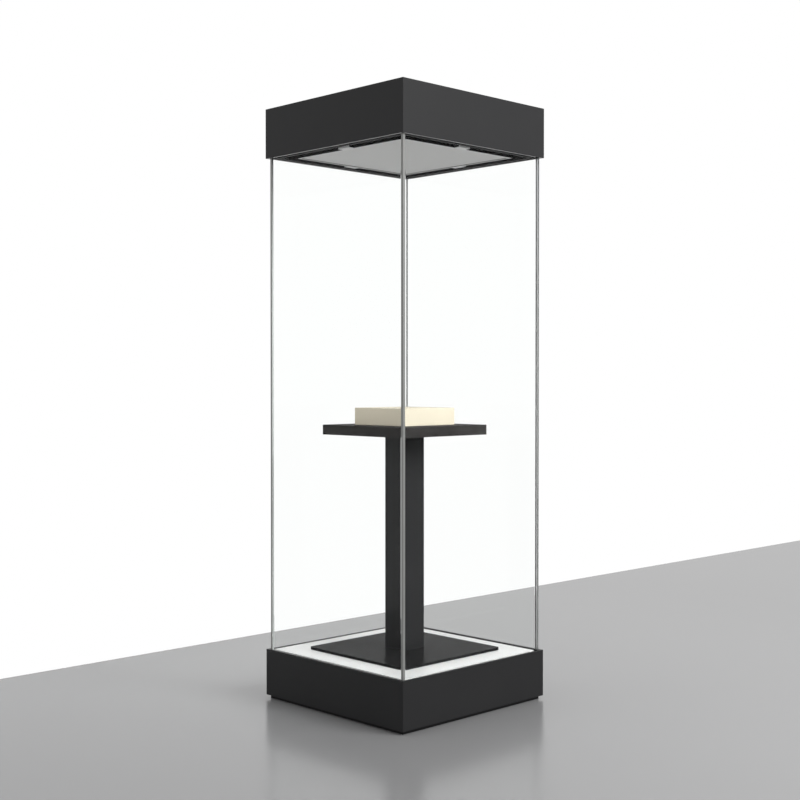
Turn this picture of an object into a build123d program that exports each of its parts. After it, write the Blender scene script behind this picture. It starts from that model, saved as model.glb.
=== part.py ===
import os
from math import hypot, radians, tan

from build123d import *

os.makedirs("parts", exist_ok=True)

# A free-standing square showcase: black base, glass on four sides, black canopy with a light
# panel, and a pedestal with a riser block inside.
# Origin: centre of the case on the floor. +Z is up, the front faces -Y, the door is at the rear.

# The case
case_side = 600
case_height = 1800
base_height = 150
canopy_height = 150
toe_height = 10
toe_inset = 10
sheet = 2
fit = 0.3
seam = 3

# Fixed glass and the channels that hold it
glass_inset = 10
glass_thickness = 8
glass_embed = 14
gasket = 1.5
channel_wall = 2
setting_block = 3
setting_block_length = 60
setting_block_spacing = 300
bead_chamfer = 0.6
canopy_rim = 33

# Frames inside the base and the canopy
tube = 30
tube_wall = 2
weld_gap = 0.1
floor_tube_width = 40
post_inset = 2
vent_radius = 3
deck_lip = 4

# Levelling feet
foot_inset = 78
foot_plate_side = 60
foot_plate_thickness = 5
foot_pad_radius = 19
foot_pad_thickness = 8
foot_floor_gap = 1
foot_stem_radius = 5
foot_stem_length = 46
foot_nut_radius = 9
foot_nut_height = 6
thread_clearance = 0.06

# Door rails, pivots and seals
rail_height = 60
rail_wall = 2
rail_embed = 35
door_gap = 2
seal_gap = 0.4
heel_gap = 1
heel_clearance = 0.8
pivot_setback = 9
pin_radius = 4
pin_running = 0.05
bush_wall = 2
bush_length = 16
pin_end_gap = 2
washer_radius = 6.5
washer_height = 4
pivot_block_length = 40
spigot_length = 30
bracket_thickness = 6
bracket_width = 38
bracket_leg = 46
bracket_screw_radius = 3
bracket_screw_length = 12
bracket_screw_head = 5
bracket_screw_spacing = 20

# Locks in the door rails
lock_setback = 22
lock_radius = 7
lock_flange_radius = 9
lock_flange_depth = 1
plug_radius = 5
plug_recess = 0.4
key_slot_width = 1.6
key_slot_height = 6
key_slot_depth = 8
plug_tail_radius = 3
cam_length = 28
cam_width = 12
cam_thickness = 2.5
cam_standoff = 2.5
lock_room = 6
strike_thickness = 2.5
strike_gap = 0.5
strike_clearance = 1.5
strike_height = 18
strike_leg = 22

# Canopy: lid, light tray and ceiling
lid_recess = 8
lid_flange = 20
knob_radius = 10
knob_neck_radius = 6
knob_neck = 2.5
knob_head = 3.5
knob_spacing = 300
tray_side = 460
tray_height = 38
tray_sheet = 1.5
tray_lip = 8
hanger_setback = 52
hanger_width = 45
hanger_thickness = 2
hanger_bearing = 6
diffuser_thickness = 3
led_board_side = 440
led_board_thickness = 1.5
strip_count = 7
strip_pitch = 60
strip_length = 400
strip_width = 12
strip_thickness = 1.2
chip_count = 12
chip_pitch = 32
chip_side = 3.5
chip_thickness = 0.8
ceiling_thickness = 1.5

# What feeds the light
driver_length = 150
driver_width = 45
driver_height = 32
driver_edge = 2
lead_radius = 2
lead_exit_height = 16
lead_reach = 45
lead_hole_radius = 5
lead_bend = 14
inlet_lead_bend = 20
inlet_lead_level = 215
inlet_lead_low = 130
inlet_lead_side = 172
inlet_lead_turn = 45
inlet_lead_dip = 4
inlet_lead_end = 135
inlet_offset = 180
inlet_above_rail = 40
inlet_width = 48
inlet_height = 24
inlet_depth = 22
inlet_flange = 6
inlet_flange_thickness = 3
socket_width = 24
socket_height = 16
socket_depth = 16
socket_shift = 9
blade_width = 2
blade_height = 4
blade_length = 13
blade_spacing = 7
earth_shift = 3
switch_shift = 13.5
switch_width = 13
switch_height = 18
switch_depth = 14
rocker_gap = 0.4
rocker_reach = 8
rocker_front = 5
rocker_back = 5
rocker_back_reach = 5
rocker_angle = 8
rocker_pivot_depth = 7.5
rocker_pin_radius = 1.5
rocker_pin_length = 1

# Pedestal
foot_side = 412
foot_thickness = 8
foot_corner = 12
column_side = 83
column_wall = 2
column_end_plate = 8
shelf_side = 352
shelf_thickness = 30
shelf_top = 839
riser_side = 214
riser_height = 52
screw_spacing = 50
screw_radius = 3
screw_head_radius = 6
screw_clearance = 0.1
small_edge = 0.8

# Places worked out from the sizes above
half = case_side / 2
glass_out = half - glass_inset
glass_in = glass_out - glass_thickness
gasket_out = glass_out + gasket
gasket_in = glass_in - gasket
channel_out = gasket_out + channel_wall
channel_in = gasket_in - channel_wall
canopy_bottom = case_height - canopy_height
middle = Plane.XY.offset((base_height + canopy_bottom) / 2)
pane_bottom = base_height - glass_embed
pane_top = canopy_bottom + glass_embed
channel_floor = pane_bottom - setting_block
deck_bottom = channel_floor - channel_wall
frame_bottom = deck_bottom - tube
canopy_frame_bottom = pane_top + setting_block + channel_wall
canopy_frame_top = canopy_frame_bottom + tube

pin_x = -(glass_in - heel_gap - pivot_setback)
pin_y = half - pivot_setback
rail_heel = pin_x - pivot_setback
rail_end = glass_in - door_gap
rail_in = channel_in
rail_bottom = base_height - rail_height
slot_floor = base_height - rail_embed - setting_block
chamber_bottom = rail_bottom + rail_wall
chamber_top = slot_floor - rail_wall
block_end = rail_heel + pivot_block_length
stile_edge = -rail_heel - heel_gap + seam
rear_line = pin_y - hypot(pivot_setback, pin_y - rail_in) - heel_clearance
frame_rear = rear_line - lock_room
post_out = half - toe_inset - post_inset
post_in = post_out - tube
bush_radius = pin_radius + pin_running + bush_wall
bracket_top = rail_bottom - washer_height
bracket_screw_x = -post_out + tube / 2
lock_x = rail_end - lock_setback
lock_z = (chamber_bottom + chamber_top) / 2
cam_out = rail_in - cam_standoff
cam_in = cam_out - cam_thickness

rim_in = half - canopy_rim
tray_half = tray_side / 2
rim_top = canopy_bottom + channel_wall
hanger_out = half - hanger_setback
hanger_in = hanger_out - hanger_thickness
hanger_end = rim_in + hanger_bearing
hanger_top = canopy_frame_bottom
tray_bottom = canopy_bottom
tray_top = tray_bottom + tray_height
board_top = tray_top - tray_sheet
board_bottom = board_top - led_board_thickness
ceiling_top = canopy_frame_top + ceiling_thickness
lid_top = case_height - lid_recess
lid_bottom = lid_top - sheet
wall_bottom = canopy_bottom + rail_height + seam
inlet_z = wall_bottom + inlet_above_rail
inlet_back = half - inlet_depth
switch_x = switch_shift - inlet_offset
rocker_y = half - rocker_pivot_depth
lead_x = driver_length / 2 + lead_reach
lead_z = ceiling_top + lead_exit_height

column_bottom = base_height + foot_thickness
shelf_bottom = shelf_top - shelf_thickness

# The fixed sides of the case, each with the direction in which it faces
outward = {"front": Vector(0, -1, 0), "left": Vector(-1, 0, 0), "right": Vector(1, 0, 0)}


def write_piece(piece, name):
    piece.part.label = name
    export_step(piece.part, f"parts/{name}.step")


def box_between(low, high, mode=Mode.ADD):
    with Locations(tuple((a + b) / 2 for a, b in zip(low, high))):
        Box(*(b - a for a, b in zip(low, high)), mode=mode)


def square_block(reach, bottom, top, mode=Mode.ADD):
    box_between((-reach, -reach, bottom), (reach, reach, top), mode)


# A round bar or hole along Z
def upright(x, y, radius, bottom, top, mode=Mode.ADD):
    with Locations((x, y, (bottom + top) / 2)):
        Cylinder(radius, top - bottom, mode=mode)


# A round bar or hole along Y
def along_y(x, z, radius, start, end, mode=Mode.ADD):
    with Locations((x, (start + end) / 2, z)):
        Cylinder(radius, end - start, rotation=(90, 0, 0), mode=mode)


# Bars along one side of the case, given as distances out from its centre and heights
def side_bars(face, rectangles):
    for inner, outer, low, high in rectangles:
        place = face * (inner + outer) / 2 + Vector(0, 0, (low + high) / 2)
        with Locations(Plane(place, x_dir=face)):
            Box(outer - inner, case_side, high - low)


# Keeps one side of a square frame, mitred at the front and cut square before the door
def mitre_side(face):
    along = face.cross(Vector(0, 0, 1))
    first = (face + along) * case_side
    second = (face - along) * case_side
    with BuildSketch() as triangle:
        with BuildLine():
            Polyline((0, 0), (first.X, first.Y), (second.X, second.Y), close=True)
        make_face()
    extrude(triangle.sketch, amount=case_height, mode=Mode.INTERSECT)
    box_between((-half, rear_line, 0), (half, half, case_height), Mode.SUBTRACT)


# A ring of rectangular tube: two full-width tubes with closed ends and a vent hole, two between them
def tube_ring(reach, rear, width, bottom):
    top = bottom + tube
    inner = reach - width
    for y in (-reach, rear - width):
        box_between((-reach, y, bottom), (reach, y + width, top))
        box_between((tube_wall - reach, y + tube_wall, bottom + tube_wall),
                    (reach - tube_wall, y + width - tube_wall, top - tube_wall), Mode.SUBTRACT)
        upright(0, y + width / 2, vent_radius, bottom, bottom + tube_wall, Mode.SUBTRACT)
    start = weld_gap - inner
    end = rear - width - weld_gap
    for x in (-reach, inner):
        box_between((x, start, bottom), (x + width, end, top))
        box_between((x + tube_wall, start, bottom + tube_wall),
                    (x + width - tube_wall, end, top - tube_wall), Mode.SUBTRACT)


# Four square posts, the rear pair set in to leave room for the door
def corner_posts(bottom, top):
    for x in (tube / 2 - post_out, post_out - tube / 2):
        for y in (tube / 2 - post_out, frame_rear - tube / 2):
            for size, mode in ((tube, Mode.ADD), (tube - 2 * tube_wall, Mode.SUBTRACT)):
                box_between((x - size / 2, y - size / 2, bottom), (x + size / 2, y + size / 2, top), mode)


# Bars or holes for the two screws that hold a pivot bracket to its post
def bracket_holes(radius, start, end, mode, flip=False):
    for step in (0.5, 1.5):
        z = bracket_top - bracket_leg + step * bracket_screw_spacing
        if flip:
            z = base_height + canopy_bottom - z
        along_y(bracket_screw_x, z, radius, start, end, mode)


# An insulated lead: straight runs joined by arcs
def lead(bend_radius, *points):
    with BuildLine() as path:
        FilletPolyline(*points, radius=bend_radius)
    with BuildSketch(Plane(points[0], z_dir=points[1] - points[0])) as section:
        Circle(lead_radius)
    sweep(section.sketch, path=path.line)


# Base: the skirt is open over the frame and below the glass, and gives way to the door's rail
with BuildPart() as base_shell:
    square_block(half, toe_height, base_height)
    square_block(half - sheet, toe_height + sheet, base_height - sheet, Mode.SUBTRACT)
    square_block(half - toe_inset, toe_height, toe_height + sheet, Mode.SUBTRACT)
    square_block(gasket_out, base_height - sheet, base_height, Mode.SUBTRACT)
    box_between((-stile_edge, rear_line, rail_bottom - seam), (stile_edge, half, base_height), Mode.SUBTRACT)
write_piece(base_shell, "base_shell")

with BuildPart() as base_frame_lower:
    floor_reach = half - toe_inset
    tube_ring(floor_reach, floor_reach, floor_tube_width, 0)
    plate_out = floor_reach - floor_tube_width - weld_gap
    plate_middle = plate_out - foot_plate_side / 2
    with Locations(Plane.XY.offset(tube - foot_plate_thickness / 2)):
        with GridLocations(2 * plate_middle, 2 * plate_middle, 2, 2):
            Box(foot_plate_side, foot_plate_side, foot_plate_thickness)
    for x in (foot_inset - half, half - foot_inset):
        for y in (foot_inset - half, half - foot_inset):
            upright(x, y, foot_stem_radius + thread_clearance,
                    tube - foot_plate_thickness, tube, Mode.SUBTRACT)
write_piece(base_frame_lower, "base_frame_lower")

with BuildPart() as base_frame_posts:
    corner_posts(tube, frame_bottom)
    bracket_holes(bracket_screw_radius, frame_rear - tube_wall, frame_rear, Mode.SUBTRACT)
write_piece(base_frame_posts, "base_frame_posts")

with BuildPart() as base_frame_upper:
    tube_ring(channel_out, frame_rear, tube, frame_bottom)
write_piece(base_frame_upper, "base_frame_upper")

with BuildPart() as deck_panel:
    deck_out = channel_in - fit
    lip_out = glass_in - fit
    box_between((-deck_out, -deck_out, deck_bottom), (deck_out, rear_line, base_height))
    box_between((-lip_out, -lip_out, base_height - deck_lip), (lip_out, rear_line, base_height))
write_piece(deck_panel, "deck_panel")

for side_x, side_name in ((-1, "left"), (1, "right")):
    for side_y, end_name in ((-1, "front"), (1, "rear")):
        with BuildPart() as levelling_foot:
            x = side_x * (half - foot_inset)
            y = side_y * (half - foot_inset)
            pad_top = foot_floor_gap + foot_pad_thickness
            upright(x, y, foot_pad_radius, foot_floor_gap, pad_top)
            upright(x, y, foot_stem_radius, pad_top, pad_top + foot_stem_length)
            with BuildSketch(Plane.XY.offset(pad_top)):
                with Locations((x, y)):
                    RegularPolygon(foot_nut_radius, 6)
            extrude(amount=foot_nut_height)
        write_piece(levelling_foot, f"levelling_foot_{end_name}_{side_name}")

# Channels for the fixed panes, mitred where they meet, with gasket strips and setting blocks
rubbers = []
for side, face in outward.items():
    with BuildPart() as base_channel:
        side_bars(face, [(channel_in, channel_out, deck_bottom, channel_floor),
                         (channel_in, gasket_in, deck_bottom, base_height - deck_lip),
                         (gasket_out, channel_out, deck_bottom, base_height - sheet)])
        mitre_side(face)
    write_piece(base_channel, f"base_channel_{side}")

    with BuildPart() as canopy_channel:
        web = canopy_frame_bottom - channel_wall
        side_bars(face, [(channel_in, channel_out, web, canopy_frame_bottom),
                         (channel_in, gasket_in, canopy_bottom, canopy_frame_bottom),
                         (rim_in, gasket_in, canopy_bottom, rim_top),
                         (gasket_out, channel_out, canopy_bottom + sheet, canopy_frame_bottom)])
        mitre_side(face)
    write_piece(canopy_channel, f"canopy_channel_{side}")

    with BuildPart() as strips:
        strip_top = base_height - deck_lip
        side_bars(face, [(gasket_in, glass_in, channel_floor, strip_top),
                         (glass_out, gasket_out, channel_floor, strip_top)])
        mitre_side(face)
    rubbers.append(strips.part)

    with BuildPart() as blocks:
        along = face.cross(Vector(0, 0, 1))
        for step in (-0.5, 0.5):
            place = face * (glass_in + glass_out) / 2 + along * step * setting_block_spacing
            with Locations(Plane(place + Vector(0, 0, channel_floor + setting_block / 2), x_dir=along)):
                Box(setting_block_length, glass_thickness - 2 * gasket, setting_block)
    rubbers.append(blocks.part)

with BuildPart() as base_glazing_rubbers:
    add(rubbers)
write_piece(base_glazing_rubbers, "base_glazing_rubbers")

with BuildPart() as canopy_glazing_rubbers:
    mirror(base_glazing_rubbers.part, about=middle)
write_piece(canopy_glazing_rubbers, "canopy_glazing_rubbers")

# Fixed panes and the bonded strips in the two front corners
with BuildPart() as glass_front:
    box_between((-glass_in, -glass_out, pane_bottom), (glass_in, -glass_in, pane_top))
write_piece(glass_front, "glass_front")

with BuildPart() as glass_right:
    box_between((glass_in, -glass_in, pane_bottom), (glass_out, glass_out, pane_top))
write_piece(glass_right, "glass_right")

with BuildPart() as glass_left:
    mirror(glass_right.part, about=Plane.YZ)
write_piece(glass_left, "glass_left")

with BuildPart() as corner_beads:
    box_between((glass_in, -glass_out, pane_bottom), (glass_out, -glass_in, pane_top))
    outer_edge = corner_beads.edges().filter_by(Axis.Z).group_by(Axis.Y)[0].sort_by(Axis.X)[-1]
    chamfer(outer_edge, length=bead_chamfer)
    mirror(about=Plane.YZ)
write_piece(corner_beads, "corner_beads")

# Door: a pane between two rails, which turn on pins set in near its heel
with BuildPart() as door_glass:
    door_glass_bottom = slot_floor + setting_block
    door_glass_top = base_height + canopy_bottom - door_glass_bottom
    box_between((-rail_end, glass_in, door_glass_bottom), (rail_end, glass_out, door_glass_top))
write_piece(door_glass, "door_glass")

with BuildPart() as door_rail_bottom:
    box_between((block_end, rail_in, rail_bottom), (rail_end, half, base_height))
    box_between((block_end, gasket_in, slot_floor), (rail_end, gasket_out, base_height), Mode.SUBTRACT)
    box_between((block_end, gasket_out + rail_wall, slot_floor),
                (rail_end, half - rail_wall, base_height - rail_wall), Mode.SUBTRACT)
    box_between((block_end, rail_in + rail_wall, chamber_bottom),
                (rail_end, half - rail_wall, chamber_top), Mode.SUBTRACT)
    along_y(lock_x, lock_z, lock_radius, rail_in, half, Mode.SUBTRACT)
    along_y(lock_x, lock_z, lock_flange_radius, half - lock_flange_depth, half, Mode.SUBTRACT)
write_piece(door_rail_bottom, "door_rail_bottom")

with BuildPart() as door_rail_top:
    mirror(door_rail_bottom.part, about=middle)
write_piece(door_rail_top, "door_rail_top")

with BuildPart() as door_pivot_blocks:
    box_between((rail_heel, rail_in, rail_bottom), (block_end, half, base_height))
    heel_edge = door_pivot_blocks.edges().filter_by(Axis.Z).group_by(Axis.X)[0].sort_by(Axis.Y)[-1]
    fillet(heel_edge, radius=pivot_setback)
    box_between((rail_heel, gasket_in, slot_floor), (block_end, gasket_out, base_height), Mode.SUBTRACT)
    box_between((block_end, rail_in + rail_wall + fit, chamber_bottom + fit),
                (block_end + spigot_length, half - rail_wall - fit, chamber_top - fit))
    upright(pin_x, pin_y, bush_radius, rail_bottom, rail_bottom + bush_length, Mode.SUBTRACT)
    mirror(about=middle)
write_piece(door_pivot_blocks, "door_pivot_blocks")

with BuildPart() as door_bushes:
    upright(pin_x, pin_y, bush_radius, rail_bottom, rail_bottom + bush_length)
    upright(pin_x, pin_y, pin_radius + pin_running, rail_bottom, rail_bottom + bush_length, Mode.SUBTRACT)
    mirror(about=middle)
write_piece(door_bushes, "door_bushes")

with BuildPart() as door_glazing_rubbers:
    strip_top = base_height - seal_gap
    box_between((-rail_end, gasket_in, slot_floor), (rail_end, glass_in, strip_top))
    box_between((-rail_end, glass_out, slot_floor), (rail_end, gasket_out, strip_top))
    for x in (-setting_block_spacing / 2, setting_block_spacing / 2):
        box_between((x - setting_block_length / 2, glass_in + gasket, slot_floor),
                    (x + setting_block_length / 2, glass_out - gasket, slot_floor + setting_block))
    mirror(about=middle)
write_piece(door_glazing_rubbers, "door_glazing_rubbers")

with BuildPart() as door_edge_seals:
    box_between((rail_end, glass_in + seal_gap, base_height + seal_gap),
                (glass_in - seal_gap, glass_out - seal_gap, canopy_bottom - seal_gap))
    mirror(about=Plane.YZ)
write_piece(door_edge_seals, "door_edge_seals")

# Pivots on the case: brackets on the rear left posts, pins, and the washer that carries the door
with BuildPart() as pivot_bracket_lower:
    bracket_end = bracket_width - post_out
    box_between((-post_out, frame_rear, bracket_top - bracket_leg), (bracket_end, rear_line, bracket_top))
    box_between((-post_out, frame_rear, bracket_top - bracket_thickness),
                (bracket_end, half - sheet - heel_gap, bracket_top))
    upright(pin_x, pin_y, pin_radius, bracket_top - bracket_thickness, bracket_top, Mode.SUBTRACT)
    bracket_holes(bracket_screw_radius, frame_rear, rear_line, Mode.SUBTRACT)
write_piece(pivot_bracket_lower, "pivot_bracket_lower")

with BuildPart() as pivot_bracket_upper:
    mirror(pivot_bracket_lower.part, about=middle)
write_piece(pivot_bracket_upper, "pivot_bracket_upper")

with BuildPart() as bracket_screws:
    shank = frame_rear + lock_room - bracket_screw_length
    bracket_holes(bracket_screw_radius, shank, rear_line, Mode.ADD)
    bracket_holes(bracket_screw_head, rear_line, rear_line + bracket_screw_radius, Mode.ADD)
    mirror(about=middle)
write_piece(bracket_screws, "bracket_screws")

with BuildPart() as pivot_pins:
    pin_top = rail_bottom + bush_length - pin_end_gap
    upright(pin_x, pin_y, pin_radius, bracket_top - bracket_thickness, pin_top)
    mirror(about=middle)
write_piece(pivot_pins, "pivot_pins")

with BuildPart() as thrust_washer:
    upright(pin_x, pin_y, washer_radius, bracket_top, rail_bottom)
    upright(pin_x, pin_y, pin_radius, bracket_top, rail_bottom, Mode.SUBTRACT)
write_piece(thrust_washer, "thrust_washer")

# Locks: the body stays in the rail, the plug and its cam turn, and the strike is on the case
with BuildPart() as lock_bodies:
    along_y(lock_x, lock_z, lock_radius, rail_in, half)
    along_y(lock_x, lock_z, lock_flange_radius, half - lock_flange_depth, half)
    along_y(lock_x, lock_z, plug_radius + pin_running, rail_in, half, Mode.SUBTRACT)
    mirror(about=middle)
write_piece(lock_bodies, "lock_bodies")

with BuildPart() as lock_plug_lower:
    plug_face = half - plug_recess
    along_y(lock_x, lock_z, plug_radius, rail_in, plug_face)
    along_y(lock_x, lock_z, plug_tail_radius, cam_in, rail_in)
    box_between((lock_x - key_slot_width / 2, plug_face - key_slot_depth, lock_z - key_slot_height / 2),
                (lock_x + key_slot_width / 2, plug_face, lock_z + key_slot_height / 2), Mode.SUBTRACT)
write_piece(lock_plug_lower, "lock_plug_lower")

with BuildPart() as lock_plug_upper:
    mirror(lock_plug_lower.part, about=middle)
write_piece(lock_plug_upper, "lock_plug_upper")

with BuildPart() as lock_cam_lower:
    along_y(lock_x, lock_z, cam_width / 2, cam_in, cam_out)
    box_between((lock_x - cam_width / 2, cam_in, lock_z),
                (lock_x + cam_width / 2, cam_out, lock_z + cam_length))
    along_y(lock_x, lock_z, plug_tail_radius, cam_in, cam_out, Mode.SUBTRACT)
write_piece(lock_cam_lower, "lock_cam_lower")

with BuildPart() as lock_cam_upper:
    mirror(lock_cam_lower.part, about=middle)
write_piece(lock_cam_upper, "lock_cam_upper")

with BuildPart() as lock_strikes:
    strike_in = cam_out + strike_gap
    strike_out = strike_in + strike_thickness
    wall = half - sheet
    strike_low = lock_z - strike_height / 2
    strike_high = lock_z + strike_height / 2
    box_between((rail_end + strike_clearance, strike_in, strike_low), (wall, strike_out, strike_high))
    box_between((wall - strike_thickness, strike_out - strike_leg, strike_low),
                (wall, strike_out, strike_high))
    mirror(about=middle)
write_piece(lock_strikes, "lock_strikes")

# Canopy: a shell that hangs on its posts, a ring frame on the channels, and a lift-off lid
with BuildPart() as canopy_shell:
    square_block(half, canopy_bottom, case_height)
    square_block(half - sheet, canopy_bottom + sheet, lid_bottom - sheet, Mode.SUBTRACT)
    square_block(gasket_out, canopy_bottom, canopy_bottom + sheet, Mode.SUBTRACT)
    square_block(half - sheet - lid_flange, lid_bottom - sheet, lid_bottom, Mode.SUBTRACT)
    square_block(half - sheet, lid_bottom, case_height, Mode.SUBTRACT)
    box_between((-stile_edge, rear_line, canopy_bottom), (stile_edge, half, wall_bottom), Mode.SUBTRACT)
    box_between((-inlet_offset - inlet_width / 2, half - sheet, inlet_z - inlet_height / 2),
                (-inlet_offset + inlet_width / 2, half, inlet_z + inlet_height / 2), Mode.SUBTRACT)
write_piece(canopy_shell, "canopy_shell")

with BuildPart() as canopy_frame:
    tube_ring(channel_out, frame_rear, tube, canopy_frame_bottom)
write_piece(canopy_frame, "canopy_frame")

with BuildPart() as canopy_posts:
    corner_posts(canopy_frame_top, lid_bottom - sheet)
    bracket_holes(bracket_screw_radius, frame_rear - tube_wall, frame_rear, Mode.SUBTRACT, flip=True)
write_piece(canopy_posts, "canopy_posts")

with BuildPart() as canopy_rear_angle:
    box_between((-rim_in, rim_in, canopy_bottom), (rim_in, rear_line, rim_top))
    box_between((-rim_in, rim_in, rim_top), (rim_in, rim_in + channel_wall, canopy_frame_bottom))
    notch = hanger_width / 2 + fit
    box_between((-notch, rim_in, hanger_top - hanger_thickness - fit), (notch, rear_line, hanger_top),
                Mode.SUBTRACT)
write_piece(canopy_rear_angle, "canopy_rear_angle")

with BuildPart() as service_lid:
    square_block(half - sheet - fit, lid_bottom, lid_top)
    for x in (-knob_spacing / 2, knob_spacing / 2):
        upright(x, 0, knob_neck_radius, lid_top, lid_top + knob_neck)
        upright(x, 0, knob_radius, lid_top + knob_neck, lid_top + knob_neck + knob_head)
write_piece(service_lid, "service_lid")

# Light: a tray that hangs on four brackets under the frame, its diffuser, and the board with its strips
with BuildPart() as light_tray:
    square_block(tray_half, tray_bottom, tray_top)
    square_block(tray_half - tray_sheet, tray_bottom + tray_sheet, tray_top - tray_sheet, Mode.SUBTRACT)
    square_block(tray_half - tray_lip, tray_bottom, tray_bottom + tray_sheet, Mode.SUBTRACT)
    reach = hanger_width / 2
    for start, stop, low, high in ((tray_half, hanger_out, tray_bottom, tray_bottom + hanger_thickness),
                                   (hanger_in, hanger_out, tray_bottom, hanger_top),
                                   (hanger_in, hanger_end, hanger_top - hanger_thickness, hanger_top)):
        for end in (-1, 1):
            near, far = sorted((end * start, end * stop))
            box_between((near, -reach, low), (far, reach, high))
            box_between((-reach, near, low), (reach, far, high))
    upright(lead_x, 0, lead_radius + fit, tray_top - tray_sheet, tray_top, Mode.SUBTRACT)
write_piece(light_tray, "light_tray")

with BuildPart() as diffuser:
    diffuser_bottom = tray_bottom + tray_sheet
    square_block(tray_half - tray_sheet - fit, diffuser_bottom, diffuser_bottom + diffuser_thickness)
write_piece(diffuser, "diffuser")

with BuildPart() as led_board:
    square_block(led_board_side / 2, board_bottom, board_top)
write_piece(led_board, "led_board")

with BuildPart() as led_strips:
    with Locations(Plane.XY.offset(board_bottom - strip_thickness / 2)):
        with GridLocations(0, strip_pitch, 1, strip_count):
            Box(strip_length, strip_width, strip_thickness)
    with Locations(Plane.XY.offset(board_bottom - strip_thickness - chip_thickness / 2)):
        with GridLocations(chip_pitch, strip_pitch, chip_count, strip_count):
            Box(chip_side, chip_side, chip_thickness)
write_piece(led_strips, "led_strips")

with BuildPart() as ceiling_plate:
    box_between((-channel_out, -channel_out, canopy_frame_top), (channel_out, frame_rear, ceiling_top))
    notch = post_in - fit
    for x in (-channel_out, notch):
        low_x, high_x = x, x + channel_out - notch
        box_between((low_x, -channel_out, canopy_frame_top), (high_x, -notch, ceiling_top), Mode.SUBTRACT)
        rear_notch = frame_rear - tube - fit
        box_between((low_x, rear_notch, canopy_frame_top), (high_x, frame_rear, ceiling_top), Mode.SUBTRACT)
    upright(lead_x, 0, lead_hole_radius, canopy_frame_top, ceiling_top, Mode.SUBTRACT)
write_piece(ceiling_plate, "ceiling_plate")

with BuildPart() as led_driver:
    with Locations((0, 0, ceiling_top + driver_height / 2)):
        Box(driver_length, driver_width, driver_height)
    fillet(led_driver.edges().filter_by(Axis.Z), radius=driver_edge)
write_piece(led_driver, "led_driver")

# Power: an inlet with a rocker switch behind the rear wall, and the leads that it feeds
with BuildPart() as power_inlet:
    flange_front = half - sheet
    flange_x = inlet_width / 2 + inlet_flange
    flange_z = inlet_height / 2 + inlet_flange
    box_between((-inlet_offset - inlet_width / 2, inlet_back, inlet_z - inlet_height / 2),
                (-inlet_offset + inlet_width / 2, half, inlet_z + inlet_height / 2))
    box_between((-inlet_offset - flange_x, flange_front - inlet_flange_thickness, inlet_z - flange_z),
                (-inlet_offset + flange_x, flange_front, inlet_z + flange_z))
    socket_x = -inlet_offset - socket_shift
    box_between((socket_x - socket_width / 2, half - socket_depth, inlet_z - socket_height / 2),
                (socket_x + socket_width / 2, half, inlet_z + socket_height / 2), Mode.SUBTRACT)
    box_between((switch_x - switch_width / 2, half - switch_depth, inlet_z - switch_height / 2),
                (switch_x + switch_width / 2, half, inlet_z + switch_height / 2), Mode.SUBTRACT)
    with BuildSketch(Plane((switch_x, rocker_y, inlet_z), x_dir=(0, 1, 0), z_dir=(1, 0, 0))):
        Circle(rocker_pin_radius + pin_running)
    extrude(amount=switch_width / 2 + rocker_pin_length, both=True, mode=Mode.SUBTRACT)
write_piece(power_inlet, "power_inlet")

with BuildPart() as inlet_blades:
    back = half - socket_depth
    for step, rise in ((-1, -earth_shift), (0, earth_shift), (1, -earth_shift)):
        x = socket_x + step * blade_spacing
        z = inlet_z + rise
        box_between((x - blade_width / 2, back, z - blade_height / 2),
                    (x + blade_width / 2, back + blade_length, z + blade_height / 2))
write_piece(inlet_blades, "inlet_blades")

with BuildPart() as switch_rocker:
    tilted = Plane((switch_x, rocker_y, inlet_z), x_dir=Vector(0, 1, 0).rotate(Axis.X, -rocker_angle),
                   z_dir=(1, 0, 0))
    rocker_side = switch_width / 2 - rocker_gap
    rocker_rise = rocker_front + rocker_reach * tan(radians(rocker_angle))
    with BuildSketch(tilted):
        with BuildLine():
            Polyline((rocker_front, 0), (rocker_rise, rocker_reach), (-rocker_back, rocker_back_reach),
                     (-rocker_back, -rocker_back_reach), (rocker_rise, -rocker_reach), close=True)
        make_face()
    extrude(amount=rocker_side, both=True)
    with BuildSketch(tilted):
        Circle(rocker_pin_radius)
    extrude(amount=switch_width / 2 + rocker_pin_length - rocker_gap, both=True)
write_piece(switch_rocker, "switch_rocker")

with BuildPart() as inner_leads:
    lead(lead_bend, Vector(driver_length / 2, 0, lead_z), Vector(lead_x, 0, lead_z),
         Vector(lead_x, 0, board_top))
    lead(inlet_lead_bend, Vector(-inlet_offset, inlet_back, inlet_z),
         Vector(-inlet_offset, inlet_lead_level, inlet_z), Vector(-inlet_offset, inlet_lead_low, lead_z),
         Vector(-inlet_lead_side, inlet_lead_turn, lead_z - inlet_lead_dip),
         Vector(-inlet_lead_end, 0, lead_z), Vector(-driver_length / 2, 0, lead_z))
write_piece(inner_leads, "inner_leads")

# Pedestal: a heavy foot plate on the deck, a column, a shelf, and a loose riser block
with BuildPart() as pedestal_foot:
    with Locations((0, 0, base_height + foot_thickness / 2)):
        Box(foot_side, foot_side, foot_thickness)
    fillet(pedestal_foot.edges().filter_by(Axis.Z), radius=foot_corner)
    chamfer(pedestal_foot.faces().sort_by(Axis.Z)[-1].edges(), length=small_edge)
    with Locations(Location((0, 0, base_height), (180, 0, 0))):
        with GridLocations(screw_spacing, screw_spacing, 2, 2):
            CounterSinkHole(screw_radius + screw_clearance, screw_head_radius + screw_clearance,
                            depth=foot_thickness, counter_sink_angle=90)
write_piece(pedestal_foot, "pedestal_foot")

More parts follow.
